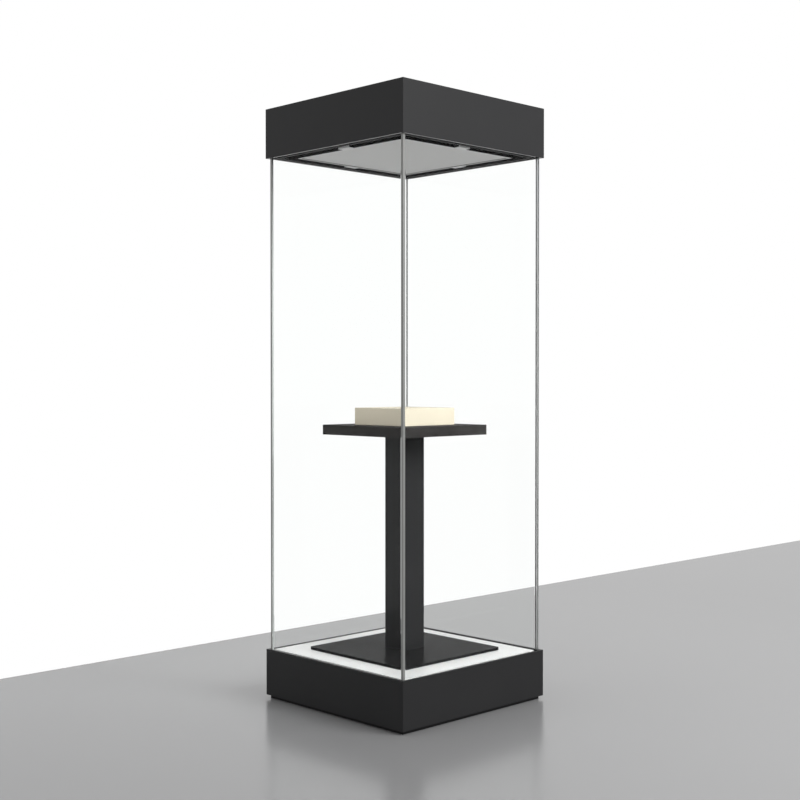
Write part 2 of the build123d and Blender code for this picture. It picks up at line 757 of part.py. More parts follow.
with BuildPart() as pedestal_column:
    square_block(column_side / 2, column_bottom, shelf_bottom)
    fillet(pedestal_column.edges().filter_by(Axis.Z), radius=small_edge)
    square_block(column_side / 2 - column_wall, column_bottom + column_end_plate,
                 shelf_bottom - column_end_plate, Mode.SUBTRACT)
    upright(0, 0, vent_radius, column_bottom, column_bottom + column_end_plate, Mode.SUBTRACT)
    for x in (-screw_spacing / 2, screw_spacing / 2):
        for y in (-screw_spacing / 2, screw_spacing / 2):
            upright(x, y, screw_radius, column_bottom, column_bottom + column_end_plate, Mode.SUBTRACT)
            upright(x, y, screw_radius, shelf_bottom - column_end_plate, shelf_bottom, Mode.SUBTRACT)
write_piece(pedestal_column, "pedestal_column")

with BuildPart() as shelf_board:
    square_block(shelf_side / 2, shelf_bottom, shelf_top)
    chamfer(shelf_board.edges(), length=small_edge)
    with Locations((0, 0, shelf_top)):
        with GridLocations(screw_spacing, screw_spacing, 2, 2):
            CounterSinkHole(screw_radius + screw_clearance, screw_head_radius + screw_clearance,
                            depth=shelf_thickness, counter_sink_angle=90)
write_piece(shelf_board, "shelf_board")

with BuildPart() as pedestal_screws:
    head = screw_head_radius - screw_radius
    for x in (-screw_spacing / 2, screw_spacing / 2):
        for y in (-screw_spacing / 2, screw_spacing / 2):
            upright(x, y, screw_radius, base_height, column_bottom + column_end_plate)
            upright(x, y, screw_radius, shelf_bottom - column_end_plate, shelf_top)
            with Locations((x, y, base_height + head / 2)):
                Cone(screw_head_radius, screw_radius, head)
            with Locations((x, y, shelf_top - head / 2)):
                Cone(screw_radius, screw_head_radius, head)
write_piece(pedestal_screws, "pedestal_screws")

with BuildPart() as riser_block:
    square_block(riser_side / 2, shelf_top, shelf_top + riser_height)
    chamfer(riser_block.edges(), length=small_edge)
write_piece(riser_block, "riser_block")
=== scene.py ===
from math import radians

import bmesh
import bpy
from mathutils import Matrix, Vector


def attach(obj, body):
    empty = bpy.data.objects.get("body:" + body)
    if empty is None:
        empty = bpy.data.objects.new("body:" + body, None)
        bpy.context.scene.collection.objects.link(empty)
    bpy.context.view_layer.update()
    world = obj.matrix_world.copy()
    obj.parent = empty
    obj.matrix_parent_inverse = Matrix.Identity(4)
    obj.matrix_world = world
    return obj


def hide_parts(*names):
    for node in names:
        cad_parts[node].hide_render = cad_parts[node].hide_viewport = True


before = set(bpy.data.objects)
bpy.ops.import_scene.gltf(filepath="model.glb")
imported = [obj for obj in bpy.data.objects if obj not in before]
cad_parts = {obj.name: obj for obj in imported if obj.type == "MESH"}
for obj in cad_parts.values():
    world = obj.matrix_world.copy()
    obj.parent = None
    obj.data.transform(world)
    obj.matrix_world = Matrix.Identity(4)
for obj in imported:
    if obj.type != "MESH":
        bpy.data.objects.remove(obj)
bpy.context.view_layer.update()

# A square showcase on the floor: black base and canopy, four panes, a pedestal with a riser.
# Sizes below are in millimetres in the case's own frame, +Z up, front towards -Y.
mm = 0.001
midHeight = 900  # the top copies of the door's parts mirror about this height
straight = 0.99  # share of a normal or an edge along an axis when it lies straight along it
facing = 0.5  # share above which a face counts as looking that way
nearFace = 0.05  # distance within which a face's middle lies in a level
softening = {"sharpFrom": 35, "smoothTo": 50}  # degrees between faces


# Small tools for modelling

def stopEditing():
    if bpy.context.mode != "OBJECT":
        bpy.ops.object.mode_set(mode="OBJECT")


def block(name, low, high):
    # a cube brought to its place in edit mode, so that its object stays at the origin
    stopEditing()
    bpy.ops.object.select_all(action="DESELECT")
    bpy.ops.mesh.primitive_cube_add(size=1)
    piece = bpy.context.active_object
    piece.name = piece.data.name = name
    bpy.ops.object.mode_set(mode="EDIT")
    bpy.ops.mesh.select_all(action="SELECT")
    bpy.ops.transform.resize(value=[(b - a) * mm for a, b in zip(low, high)], center_override=(0, 0, 0))
    bpy.ops.transform.translate(value=[(a + b) / 2 * mm for a, b in zip(low, high)])
    return piece


def choose(piece, kind, wanted):
    # selects the faces, edges or corners that pass a test of place or normal
    bpy.ops.mesh.select_mode(type={"verts": "VERT", "edges": "EDGE", "faces": "FACE"}[kind])
    bpy.ops.mesh.select_all(action="DESELECT")
    mesh = bmesh.from_edit_mesh(piece.data)
    mesh.normal_update()
    for item in getattr(mesh, kind):
        if wanted(item):
            item.select_set(True)
    mesh.select_flush_mode()
    bmesh.update_edit_mesh(piece.data)


def levelFace(side, height):
    # faces that look up (1) or down (-1) at one height
    return lambda face: (face.normal.z * side > straight
                         and abs(face.calc_center_median().z - height * mm) < nearFace * mm)


def isUpright(edge):
    run = edge.verts[0].co - edge.verts[1].co
    return run.length > 0 and abs(run.normalized().z) > straight


def stepSquare(steps):
    # takes the selected face through half widths and heights, as sheet steel is folded
    for (reachBefore, heightBefore), (reach, height) in zip(steps, steps[1:]):
        bpy.ops.mesh.extrude_region_move(
            TRANSFORM_OT_translate={"value": (0, 0, (height - heightBefore) * mm)})
        ratio = reach / reachBefore
        bpy.ops.transform.resize(value=(ratio, ratio, 1), center_override=(0, 0, height * mm))


def turned(name, centre, profile, axis="z", points=40):
    # a turned piece: a disc taken through radii and heights along its axis
    stopEditing()
    bpy.ops.object.select_all(action="DESELECT")
    bpy.ops.mesh.primitive_circle_add(vertices=points, radius=profile[0][0] * mm, fill_type="NGON")
    piece = bpy.context.active_object
    piece.name = piece.data.name = name
    bpy.ops.object.mode_set(mode="EDIT")
    bpy.ops.mesh.select_all(action="SELECT")
    bpy.ops.transform.translate(value=(0, 0, profile[0][1] * mm))
    for (radiusBefore, heightBefore), (radius, height) in zip(profile, profile[1:]):
        bpy.ops.mesh.extrude_region_move(
            TRANSFORM_OT_translate={"value": (0, 0, (height - heightBefore) * mm)})
        ratio = radius / radiusBefore
        bpy.ops.transform.resize(value=(ratio, ratio, 1), center_override=(0, 0, height * mm))
    bpy.ops.mesh.select_all(action="SELECT")
    if axis == "y":
        mesh = bmesh.from_edit_mesh(piece.data)
        for corner in mesh.verts:
            corner.co = Vector((corner.co.x, corner.co.z, -corner.co.y))
        bmesh.update_edit_mesh(piece.data)
    bpy.ops.transform.translate(value=[value * mm for value in centre])
    outwardNormals()
    return piece


def outwardNormals():
    bpy.ops.mesh.select_all(action="SELECT")
    bpy.ops.mesh.normals_make_consistent(inside=False)


def pick(piece, *others):
    # the pieces become the selection, with the first one active
    stopEditing()
    bpy.ops.object.select_all(action="DESELECT")
    for each in (*others, piece):
        each.select_set(True)
    bpy.context.view_layer.objects.active = piece


def joinTo(piece, other):
    pick(piece, other)
    bpy.ops.object.join()


def useModifier(piece, kind, **settings):
    pick(piece)
    bpy.ops.object.modifier_add(type=kind)
    modifier = piece.modifiers[-1]
    for name, value in settings.items():
        setattr(modifier, name, value)
    bpy.ops.object.modifier_apply(modifier=modifier.name)


def combine(piece, other, operation="DIFFERENCE"):
    stopEditing()
    useModifier(piece, "BOOLEAN", object=other, operation=operation, solver="EXACT")
    bpy.data.objects.remove(other)


def soften(piece, width, steps=2):
    # a small rounding on every sharp edge, so that it catches the light
    useModifier(piece, "BEVEL", width=width * mm, segments=steps, limit_method="ANGLE",
                angle_limit=radians(softening["sharpFrom"]), use_clamp_overlap=True)
    bpy.ops.object.shade_smooth_by_angle(angle=radians(softening["smoothTo"]))
    useModifier(piece, "WEIGHTED_NORMAL", keep_sharp=True)


def copyOf(piece, name, shift=(0, 0, 0), flip=None):
    # a copy with its own mesh, moved or mirrored (about the middle height or the middle plane)
    pick(piece)
    bpy.ops.object.duplicate()
    twin = bpy.context.active_object
    twin.name = twin.data.name = name
    bpy.ops.object.mode_set(mode="EDIT")
    bpy.ops.mesh.select_all(action="SELECT")
    bpy.ops.transform.translate(value=[value * mm for value in shift])
    if flip:
        scale = (1, 1, -1) if flip == "z" else (-1, 1, 1)
        bpy.ops.transform.resize(value=scale, center_override=(0, 0, midHeight * mm))
        outwardNormals()
    stopEditing()
    return twin


def settle(piece, body, slotName, look, *nodes):
    # gives a finished piece its look, its body and the nodes that it stands for
    stopEditing()
    piece.data.materials.clear()
    piece.data.materials.append(look)
    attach(piece, body)
    if nodes:
        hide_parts(*nodes)
    return piece


def paint(piece, look, wanted):
    # gives a second finish to the faces that pass a test
    piece.data.materials.append(look)
    for face in piece.data.polygons:
        face.material_index = 1 if wanted(face) else 0


# Small tools for materials

class Signal:
    # a node's socket that can stand in sums
    def __init__(self, tree, socket):
        self.tree = tree
        self.socket = socket

    def reckon(self, operation, first, second):
        node = self.tree.nodes.new("ShaderNodeMath")
        node.operation = operation
        for plug, value in zip(node.inputs, (first, second)):
            if isinstance(value, Signal):
                self.tree.links.new(value.socket, plug)
            else:
                plug.default_value = value
        return Signal(self.tree, node.outputs[0])

    def __add__(self, other):
        return self.reckon("ADD", self, other)

    def __sub__(self, other):
        return self.reckon("SUBTRACT", self, other)

    def __rsub__(self, other):
        return self.reckon("SUBTRACT", other, self)

    def __mul__(self, other):
        return self.reckon("MULTIPLY", self, other)

    def above(self, level):
        return self.reckon("GREATER_THAN", self, level)

    __radd__ = __add__
    __rmul__ = __mul__


class Recipe:
    # one material, the nodes that make it and the sockets that they feed
    def __init__(self, name, **constants):
        self.material = bpy.data.materials.new(name)
        self.material.use_nodes = True
        self.tree = self.material.node_tree
        self.shader = self.tree.nodes["Principled BSDF"]
        self.output = self.tree.nodes["Material Output"]
        for key, value in constants.items():
            self.shader.inputs[key.replace("_", " ")].default_value = value
        self.place = self.node("ShaderNodeTexCoord", output="Object")

    def node(self, kind, settings=None, sockets=None, output=0):
        node = self.tree.nodes.new(kind)
        for key, value in (settings or {}).items():
            if key == "stops":
                for element, (position, level) in zip(node.color_ramp.elements, value):
                    element.position = position
                    element.color = (level, level, level, 1)
            else:
                setattr(node, key, value)
        for key, value in (sockets or {}).items():
            plug = node.inputs[key]
            if isinstance(value, Signal):
                self.tree.links.new(value.socket, plug)
            else:
                plug.default_value = value
        return Signal(self.tree, node.outputs[output])

    def noise(self, scale, detail=2, stretch=(1, 1, 1)):
        vector = self.place
        if stretch != (1, 1, 1):
            vector = self.node("ShaderNodeMapping", None, {"Vector": self.place, "Scale": stretch})
        return self.node("ShaderNodeTexNoise", None, {"Vector": vector, "Scale": scale, "Detail": detail})

    def masked(self, signal, start, end):
        return self.node("ShaderNodeValToRGB", {"stops": ((start, 0), (end, 1))}, {"Fac": signal})

    def colours(self, share, first, second):
        return self.node("ShaderNodeMix", {"data_type": "RGBA"},
                         {0: share, 6: (*first, 1), 7: (*second, 1)}, output=2)

    def feed(self, name, signal):
        self.tree.links.new(signal.socket, self.shader.inputs[name])

    def relief(self, signal, depth, strength=1.0):
        bump = self.node("ShaderNodeBump", None,
                         {"Height": signal, "Distance": depth * mm, "Strength": strength})
        self.feed("Normal", bump)


def shade(tone, ratio):
    return tuple(value * ratio for value in tone)


print("tools ready")


# Materials

def around(tone, under, over):
    return shade(tone, under), shade(tone, over)


def finish(name, look, **constants):
    # a slow noise tints the piece; a fine one moves its roughness and makes its relief
    recipe = Recipe(name, **constants)
    fine = recipe.noise(*look["fine"])
    slow = recipe.noise(*look["slow"]) if "slow" in look else fine
    recipe.feed("Base Color", recipe.colours(slow, *look["tones"]))
    recipe.feed("Roughness", look["roughness"] + (fine - 0.5) * look["swing"])
    if "depth" in look:
        recipe.relief(fine, look["depth"])
    return recipe.material


# Powder coat: fine even grain, gloss that drifts a little over a face
coatLook = {"tone": (0.033, 0.033, 0.0342), "spread": (0.88, 1.12), "drift": 5, "driftSwing": 0.10,
            "grain": 1300, "grainSwing": 0.06, "depth": 0.035}
# the black coats: share of the tone, roughness, gloss
blackCoats = {
    "shellCoat": (1, 0.42, 0.12),
    "frameCoat": (0.45, 0.55, 0.12),
    # painted light: the rim coat is 4.6 times the black tone, for the light that the canopy's lip catches
    # from below
    "paintedLightRimCoat": (4.6, 0.30, 0.3),
    "channelCoat": (1.1, 0.5, 0.02),
    # painted shade: a fifth of the black tone, so that the light tray's sides vanish in the gap
    "paintedShadeCoat": (0.2, 0.7, 0.0),
    "columnCoat": (0.62, 0.34, 0.05),
    "footCoat": (0.4, 0.22, 0.005),
}
# satin white on the light tray and the ceiling plate
trayLook = {"tone": (0.76, 0.76, 0.765), "roughness": 0.42, "gloss": 0.4}


def powderCoat(name, tone, roughness, gloss):
    v = coatLook
    coat = Recipe(name, Specular_IOR_Level=gloss)
    drift = coat.noise(v["drift"], 3)
    grain = coat.noise(v["grain"], 2)
    coat.feed("Base Color", coat.colours(drift, *around(tone, *v["spread"])))
    coat.feed("Roughness", roughness + (drift - 0.5) * v["driftSwing"] + (grain - 0.5) * v["grainSwing"])
    coat.relief(grain, v["depth"])
    return coat.material


shellCoat, frameCoat, paintedLightRimCoat, channelCoat, paintedShadeCoat, columnCoat, footCoat = [
    powderCoat(name, shade(coatLook["tone"], share), roughness, gloss)
    for name, (share, roughness, gloss) in blackCoats.items()]
whiteCoat = powderCoat("whiteCoat", trayLook["tone"], trayLook["roughness"], trayLook["gloss"])

# Lacquered board: slow waviness under a satin black
boardLook = {"tone": (0.030, 0.0285, 0.0278), "spread": (0.9, 1.15), "roughness": 0.42, "swing": 0.12,
             "gloss": 0.004, "drift": 9, "pores": 420, "poreStretch": (1, 0.12, 1), "depth": 0.02}


def lacqueredBoard():
    v = boardLook
    board = Recipe("lacqueredBoard", Specular_IOR_Level=v["gloss"])
    drift = board.noise(v["drift"], 3)
    board.feed("Base Color", board.colours(drift, *around(v["tone"], *v["spread"])))
    board.feed("Roughness", v["roughness"] + (drift - 0.5) * v["swing"])
    board.relief(board.noise(v["pores"], 3, v["poreStretch"]), v["depth"])
    return board.material


blackBoard = lacqueredBoard()

# Float glass with an anti-reflective coat, hence its low index; clear for the lamps' rays
glassLook = {"tint": (0.995, 1.0, 0.997), "deep": (0.992, 0.999, 0.995), "index": 1.12, "drift": 2.5,
             "lampTint": (0.98, 0.99, 0.985)}


def floatGlass():
    v = glassLook
    glass = Recipe("floatGlass", Roughness=0.0, Transmission_Weight=1.0, IOR=v["index"])
    glass.feed("Base Color", glass.colours(glass.noise(v["drift"], 1), v["tint"], v["deep"]))
    lampRay = glass.node("ShaderNodeLightPath", output="Is Shadow Ray")
    clear = glass.node("ShaderNodeBsdfTransparent", None, {"Color": (*v["lampTint"], 1)})
    shown = glass.node("ShaderNodeMixShader", None, {0: lampRay, 2: clear})
    glass.tree.links.new(glass.shader.outputs[0], shown.socket.node.inputs[1])
    glass.tree.links.new(shown.socket, glass.output.inputs["Surface"])
    return glass.material


clearPane = floatGlass()

# Ground pane edges: pale grey, slightly streaked along their length
edgeLook = {"tones": around((0.50, 0.515, 0.505), 0.85, 1.1), "fine": (260, 3, (1, 1, 0.02)),
            "roughness": 0.28, "swing": 0.15, "depth": 0.02}
paneEdge = finish("groundEdge", edgeLook, Transmission_Weight=0.08, IOR=1.5)

# Bonding bead in the corners: smooth grey silicone with small tooling waves
beadLook = {"tones": around((0.32, 0.325, 0.315), 0.9, 1.1), "fine": (60, 2, (1, 1, 0.25)),
            "roughness": 0.32, "swing": 0.12, "depth": 0.05}
cornerBead = finish("bondingBead", beadLook, Specular_IOR_Level=0.5)

# The bead's sides against the pane ends are painted pale: painted light, so that the corner line looks lit
# through the glass
paintedLightBondLook = {"tones": around((0.84, 0.85, 0.845), 0.96, 1), "fine": (60, 2, (1, 1, 0.25)),
            "roughness": 0.4, "swing": 0.1}
paintedLightBond = finish("paintedLightBond", paintedLightBondLook, Specular_IOR_Level=0.2)

# White laminate: fine pebble and faint rub marks
deckLook = {"tones": around((0.66, 0.66, 0.657), 1, 0.97), "roughness": 0.36, "rubSwing": 0.10,
            "rubs": (14, 5, (1, 0.3, 1)), "rubsFrom": 0.52, "rubsTo": 0.75, "pebble": 900, "depth": 0.02}


def whiteLaminate():
    v = deckLook
    deck = Recipe("whiteLaminate", Specular_IOR_Level=0.5)
    rubs = deck.masked(deck.noise(*v["rubs"]), v["rubsFrom"], v["rubsTo"])
    deck.feed("Base Color", deck.colours(rubs, *v["tones"]))
    deck.feed("Roughness", v["roughness"] + rubs * v["rubSwing"])
    deck.relief(deck.noise(v["pebble"], 2), v["depth"])
    return deck.material


laminate = whiteLaminate()

# Opal sheet: matt, with a fine frost
opalLook = {"tones": around((0.71, 0.71, 0.705), 0.97, 1.02), "slow": (3, 2), "fine": (1100, 2),
            "roughness": 0.5, "swing": 0.15, "depth": 0.02}
opal = finish("opalSheet", opalLook, Specular_IOR_Level=0.4)

# Cream paint on the riser: roller stipple, slightly uneven tone
creamLook = {"tones": around((0.67, 0.61, 0.485), 0.95, 1.03), "slow": (12, 4), "fine": (520, 2),
             "roughness": 0.6, "swing": 0.12, "depth": 0.06}
creamPaint = finish("rolledPaint", creamLook, Specular_IOR_Level=0.3)

# Metals: tone, roughness, stretch of the brushed grain, depth of the grain
metalLooks = {
    "zincPlate": ((0.55, 0.56, 0.57), 0.34, (1, 1, 0.1), 0.01),
    "brightPlate": ((0.66, 0.66, 0.67), 0.14, (1, 1, 1), 0.004),
    "bearingBronze": ((0.55, 0.38, 0.18), 0.36, (1, 1, 0.2), 0.01),
}
zincPlate, brightPlate, bearingBronze = [
    finish(name, {"tones": around(tone, 0.85, 1.08), "slow": (40, 2), "fine": (700, 3, stretch),
                  "roughness": roughness, "swing": 0.16, "depth": depth}, Metallic=1.0)
    for name, (tone, roughness, stretch, depth) in metalLooks.items()]

# Rubber and moulded plastic: tone, roughness, scale and depth of the grain
softLooks = {
    "gasketRubber": ((0.018, 0.018, 0.018), 0.75, 600, 0.03),
    "mouldedBlack": ((0.024, 0.024, 0.025), 0.45, 1500, 0.02),
}
gasketRubber, mouldedBlack = [
    finish(name, {"tones": around(tone, 0.8, 1.2), "fine": (grain, 3), "roughness": roughness,
                  "swing": 0.15, "depth": depth}, Specular_IOR_Level=0.35)
    for name, (tone, roughness, grain, depth) in softLooks.items()]

# The door's clear edge seals, and the strips in the canopy, whose pale grey is partly their clear look and
# partly painted light from below
sealLook = {"tones": ((0.90, 0.91, 0.905), (0.96, 0.965, 0.96)), "fine": (90, 2, (1, 1, 0.1)),
            "roughness": 0.325, "swing": 0.15}
sealStrip = finish("clearStrip", sealLook, Transmission_Weight=0.92, IOR=1.15)
paintedLightStripLook = {"tones": around((0.25, 0.255, 0.25), 0.9, 1.08), "fine": (300, 3), "roughness": 0.5,
             "swing": 0.15, "depth": 0.02}
paintedLightStrip = finish("paintedLightSilicone", paintedLightStripLook, Specular_IOR_Level=0.4)

# Yellow light chips stand below their white strips, so height in metres tells them apart
lampLook = {"chips": (0.85, 0.68, 0.12), "strip": (0.82, 0.82, 0.78), "stripAbove": 1.6837,
            "roughness": 0.35, "swing": 0.1, "mask": 500}


def lampBoard():
    v = lampLook
    board = Recipe("lampBoard", Specular_IOR_Level=0.5)
    height = board.node("ShaderNodeSeparateXYZ", None, {0: board.place}, output=2)
    board.feed("Base Color", board.colours(height.above(v["stripAbove"]), v["chips"], v["strip"]))
    board.feed("Roughness", v["roughness"] + (board.noise(v["mask"], 2) - 0.5) * v["swing"])
    return board.material


lampStrips = lampBoard()
print("materials ready")


# Base and canopy shells

baseValues = {"reach": 300, "bottom": 10, "top": 150, "lip": 291.5, "toe": 290, "sheet": 2, "round": 0.9}
canopyValues = {"reach": 300, "bottom": 1650, "top": 1800, "seat": 1790, "seatReach": 278,
                "lip": 291.5, "sheet": 2, "round": 0.9,
                "inletHole": ((-204, 290, 1741), (-156, 310, 1765))}
# the door's rails swing through notches in the rear walls; spare is what a cutter reaches past them
railNotch = {"reach": 283, "front": 274.8, "bottom": 87, "top": 1713, "spare": 10}


def openSquare(piece, side, steps):
    # folds inward from the top or bottom face and leaves the last face open
    choose(piece, "faces", levelFace(side, steps[0][1]))
    stepSquare(steps)
    bpy.ops.mesh.delete(type="ONLY_FACE")


def bridgeRims(piece):
    choose(piece, "edges", lambda edge: edge.is_boundary)
    bpy.ops.mesh.bridge_edge_loops()
    outwardNormals()


def cutNotch(piece, bottom, top):
    n = railNotch
    combine(piece, block("cutter", (-n["reach"], n["front"], bottom),
                         (n["reach"], baseValues["reach"] + n["spare"], top)))


def baseShell():
    v = baseValues
    wall = v["reach"] - v["sheet"]
    piece = block("skirtShell", (-v["reach"], -v["reach"], v["bottom"]),
                  (v["reach"], v["reach"], v["top"]))
    openSquare(piece, 1, [(v["reach"], v["top"]), (v["lip"], v["top"]),
                          (v["lip"], v["top"] - v["sheet"]), (wall, v["top"] - v["sheet"]),
                          (wall, v["bottom"] + v["sheet"]), (v["toe"], v["bottom"] + v["sheet"])])
    openSquare(piece, -1, [(v["reach"], v["bottom"]), (v["toe"], v["bottom"])])
    bridgeRims(piece)
    cutNotch(piece, railNotch["bottom"], v["top"] + railNotch["spare"])
    soften(piece, v["round"])
    return settle(piece, "root", "black_steel", shellCoat, "base_shell")


def canopyShell():
    v = canopyValues
    wall = v["reach"] - v["sheet"]
    piece = block("canopyShell", (-v["reach"], -v["reach"], v["bottom"]),
                  (v["reach"], v["reach"], v["top"]))
    openSquare(piece, 1, [(v["reach"], v["top"]), (wall, v["top"]), (wall, v["seat"]),
                          (v["seatReach"], v["seat"]), (v["seatReach"], v["seat"] - v["sheet"]),
                          (wall, v["seat"] - v["sheet"]), (wall, v["bottom"] + v["sheet"]),
                          (v["lip"], v["bottom"] + v["sheet"])])
    openSquare(piece, -1, [(v["reach"], v["bottom"]), (v["lip"], v["bottom"])])
    bridgeRims(piece)
    cutNotch(piece, v["bottom"] - railNotch["spare"], railNotch["top"])
    combine(piece, block("cutter", *v["inletHole"]))
    soften(piece, v["round"])
    settle(piece, "root", "black_steel", shellCoat, "canopy_shell")
    # the folded lip underneath gets a paler coat: painted light, standing in for the floor's light on the
    # underside
    paint(piece, paintedLightRimCoat, lambda face: face.center.z < (v["bottom"] + nearFace) * mm)
    return piece


baseShell()
canopyShell()
print("shells ready")


# Glass

paneValues = {"arris": 1.0, "bottom": 136, "top": 1664, "outer": 290, "inner": 282}
doorPane = {"half": 280, "bottom": 115, "top": 1685}
beadValues = {"round": 0.9, "steps": 3, "soften": 0.2}


def levelEnd(face):
    return abs(face.normal.z) > facing


def levelOrRearEnd(face):
    return levelEnd(face) or face.normal.y > facing


def pane(name, low, high, isGround, body, node):
    # arrises at 45 degrees; big faces, bonded ends and the door's polished ends stay clear
    piece = block(name, low, high)
    bpy.ops.mesh.select_all(action="SELECT")
    bpy.ops.mesh.bevel(offset=paneValues["arris"] * mm, segments=1, affect="EDGES")
    outwardNormals()
    settle(piece, body, "glass", clearPane, node)
    paint(piece, paneEdge, isGround)


def panes():
    outer, inner, bottom, top = [paneValues[key] for key in ("outer", "inner", "bottom", "top")]
    d = doorPane
    pane("frontPane", (-inner, -outer, bottom), (inner, -inner, top), levelEnd, "root", "glass_front")
    pane("leftPane", (-outer, -inner, bottom), (-inner, outer, top), levelOrRearEnd, "root", "glass_left")
    pane("rightPane", (inner, -inner, bottom), (outer, outer, top), levelOrRearEnd, "root", "glass_right")
    pane("doorPane", (-d["half"], inner, d["bottom"]), (d["half"], outer, d["top"]), levelEnd,
         "door", "door_glass")


def cornerBeads():
    # square beads between the panes, their outer edges eased, joined as one piece
    g = paneValues
    left = block("cornerBeads", (-g["outer"], -g["outer"], g["bottom"]),
                 (-g["inner"], -g["inner"], g["top"]))
    outside = (0.1 - g["outer"]) * mm
    choose(left, "edges", lambda edge: isUpright(edge) and all(
        corner.co.x < outside and corner.co.y < outside for corner in edge.verts))
    bpy.ops.mesh.bevel(offset=beadValues["round"] * mm, segments=beadValues["steps"], affect="EDGES")
    right = copyOf(left, "beadRight", flip="x")
    joinTo(left, right)
    soften(left, beadValues["soften"], 1)
    settle(left, "root", "bead_grey", cornerBead, "corner_beads")
    # the bead's inner sides get the pale painted light
    paint(left, paintedLightBond, lambda face: face.normal.y > facing
          or face.normal.x * (1 if face.center.x > 0 else -1) < -facing)


panes()
cornerBeads()
print("glass ready")


# Pedestal

pedestalValues = {"foot": 206, "footBottom": 150, "footTop": 158, "footCorner": 12, "footRound": 0.8,
                  "column": 41.5, "columnCorner": 1.6, "columnRound": 0.3,
                  "shelf": 176, "shelfBottom": 809, "shelfTop": 839, "shelfRound": 1.0,
                  "screwAt": 25, "screwHole": ((3.1, 800), (3.1, 835.9), (6.1, 838.9), (6.1, 845)),
                  "riser": 107, "riserTop": 891, "riserRound": 1.2}


def squareColumn(name, half, bottom, top, corner=0, steps=1):
    piece = block(name, (-half, -half, bottom), (half, half, top))
    if corner:
        choose(piece, "edges", isUpright)
        bpy.ops.mesh.bevel(offset=corner * mm, segments=steps, affect="EDGES")
    return piece


def pedestal():
    p = pedestalValues
    foot = squareColumn("footPlate", p["foot"], p["footBottom"], p["footTop"], p["footCorner"], 10)
    soften(foot, p["footRound"], 3)
    settle(foot, "pedestal", "black_steel", footCoat, "pedestal_foot")
    column = squareColumn("column", p["column"], p["footTop"], p["shelfBottom"], p["columnCorner"], 4)
    soften(column, p["columnRound"], 1)
    settle(column, "pedestal", "black_steel", columnCoat, "pedestal_column")


def shelfBoard():
    p = pedestalValues
    piece = squareColumn("shelfBoard", p["shelf"], p["shelfBottom"], p["shelfTop"])
    for x in (-p["screwAt"], p["screwAt"]):
        for y in (-p["screwAt"], p["screwAt"]):
            combine(piece, turned("cutter", (x, y, 0), p["screwHole"], points=24))
    soften(piece, p["shelfRound"], 3)
    return settle(piece, "pedestal", "black_board", blackBoard, "shelf_board")


def riserBlock():
    p = pedestalValues
    piece = squareColumn("riserBlock", p["riser"], p["shelfTop"], p["riserTop"])
    soften(piece, p["riserRound"], 3)
    return settle(piece, "riser", "cream_paint", creamPaint, "riser_block")


pedestal()
shelfBoard()
riserBlock()
print("pedestal ready")


# Light tray in the canopy

trayValues = {"reach": 230, "bottom": 1650, "top": 1688, "sheet": 1.5, "lip": 222, "round": 0.4,
              "border": 0.3, "side": 0.5}
hangerValues = {"outer": 248, "end": 273, "half": 22.5, "top": 1669, "sheet": 2, "overlap": 1}
diffuserValues = {"reach": 228.2, "bottom": 1651.5, "top": 1654.5, "round": 0.4}


def trayHangers(tray):
    # four folded brackets: a foot level with the tray's face, a leg, and a flange under the frame
    t, h = trayValues, hangerValues
    runs = ((t["reach"] - h["overlap"], h["outer"], t["bottom"], t["bottom"] + h["sheet"]),
            (h["outer"] - h["sheet"], h["outer"], t["bottom"], h["top"]),
            (h["outer"] - h["sheet"], h["end"], h["top"] - h["sheet"], h["top"]))
    for x, y in ((1, 0), (-1, 0), (0, 1), (0, -1)):
        for start, stop, bottom, top in runs:
            low = [min(x * start, x * stop), min(y * start, y * stop), bottom]
            high = [max(x * start, x * stop), max(y * start, y * stop), top]
            side = 1 if x else 0
            low[side], high[side] = -h["half"], h["half"]
            combine(tray, block("hanger", low, high), "UNION")


def lightTray():
    t = trayValues
    wall = t["reach"] - t["sheet"]
    piece = squareColumn("lightTray", t["reach"], t["bottom"], t["top"])
    choose(piece, "faces", levelFace(-1, t["bottom"]))
    stepSquare([(t["reach"], t["bottom"]), (t["lip"], t["bottom"]), (t["lip"], t["bottom"] + t["sheet"]),
                (wall, t["bottom"] + t["sheet"]), (wall, t["top"] - t["sheet"])])
    outwardNormals()
    trayHangers(piece)
    soften(piece, t["round"])
    settle(piece, "root", "white_steel", paintedShadeCoat, "light_tray")
    # its sides get painted shade, a near black that vanishes in the gap; the border and the hangers match
    # the sheet
    paint(piece, whiteCoat, lambda face: face.center.z < (t["bottom"] + t["border"]) * mm
          or max(abs(face.center.x), abs(face.center.y)) > (t["reach"] + t["side"]) * mm)
    return piece


def diffuserSheet():
    d = diffuserValues
    piece = squareColumn("diffuserSheet", d["reach"], d["bottom"], d["top"])
    soften(piece, d["round"])
    return settle(piece, "root", "opal", opal, "diffuser")


lightTray()
diffuserSheet()
print("light ready")


# Lid with two turned knobs, whose profile is given over the lid's top

lidValues = {"reach": 297.7, "bottom": 1790, "top": 1792, "round": 0.4, "knobAt": 150,
             "knob": ((6, -0.5), (6, 2.2), (9.4, 2.5), (10, 3), (10, 5), (9.2, 5.8), (7.5, 6))}


def serviceLid():
    v = lidValues
    piece = squareColumn("serviceLid", v["reach"], v["bottom"], v["top"])
    for x in (-v["knobAt"], v["knobAt"]):
        profile = [(radius, v["top"] + height) for radius, height in v["knob"]]
        combine(piece, turned("knob", (x, 0, 0), profile), "UNION")
    soften(piece, v["round"])
    return settle(piece, "lid", "black_steel", shellCoat, "service_lid")


serviceLid()


# Levelling feet: rubber-faced pad, hexagon nut and a threaded stem

